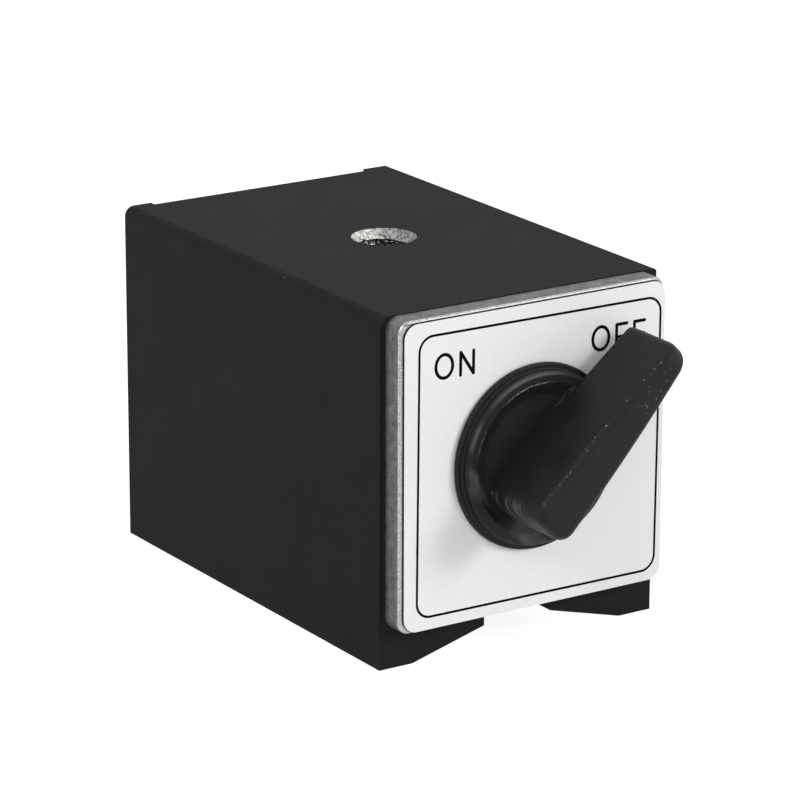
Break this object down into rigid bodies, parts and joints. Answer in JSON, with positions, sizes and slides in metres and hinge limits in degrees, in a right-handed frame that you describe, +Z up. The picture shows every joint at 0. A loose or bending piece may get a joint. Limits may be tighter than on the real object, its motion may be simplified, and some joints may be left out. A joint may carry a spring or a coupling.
{
  "type": "magnetic base",
  "caption": "Switchable magnetic base: a block with V-groove soles, a turning switch knob on its front plate and a threaded hole for a column on top.",
  "frame": {"origin": "middle of the V groove, on the plane that the two soles stand on", "axes": "+Z up through the threaded hole, -Y out of the front plate and the knob, +X to the right seen from the front"},
  "size_m": [0.05, 0.0934, 0.055],
  "materials": {
    "black_coated_steel": "fine-textured black coating on steel",
    "black_coated_spacer": "fine-textured black coating on non-magnetic metal",
    "brushed_plate": "brushed",
    "label_sheet": "satin, printed border and ON / OFF lettering",
    "bright_screw_steel": "zinc plated",
    "bronze": "sintered bronze",
    "ground_steel": "ground",
    "grey_felt": "pressed wool felt",
    "black_moulding": "fine-grained black moulding",
    "cast_aluminium": "die cast",
    "ferrite": "sintered ferrite, ground faces"
  },
  "bodies": {
    "base": {"left_pole": "black_coated_steel", "right_pole": "black_coated_steel", "top_spacer": "black_coated_spacer", "bottom_spacer": "black_coated_spacer", "front_plate": "brushed_plate", "face_label": "label_sheet", "plate_screws": "bright_screw_steel", "front_bush": "bronze", "thrust_washer": "ground_steel", "felt_washer": "grey_felt", "rear_cover": "black_coated_spacer", "cover_screws": "bright_screw_steel", "rear_bush": "bronze", "disc_spring": "ground_steel"},
    "rotor": {"knob": "black_moulding", "knob_leaf": "ground_steel", "spindle": "ground_steel", "front_cap": "cast_aluminium", "rear_cap": "cast_aluminium", "front_cap_screws": "bright_screw_steel", "rear_cap_screws": "bright_screw_steel", "upper_shoe": "ground_steel", "lower_shoe": "ground_steel", "magnet_slabs": "ferrite", "stop_pin": "ground_steel"}
  },
  "joints": [
    {"name": "knob_turn", "type": "hinge", "parent": "base", "child": "rotor", "pos_m": [0, -0.0413, 0.0306], "axis": [0, -1, 0], "range_deg": [0, 90]}
  ]
}
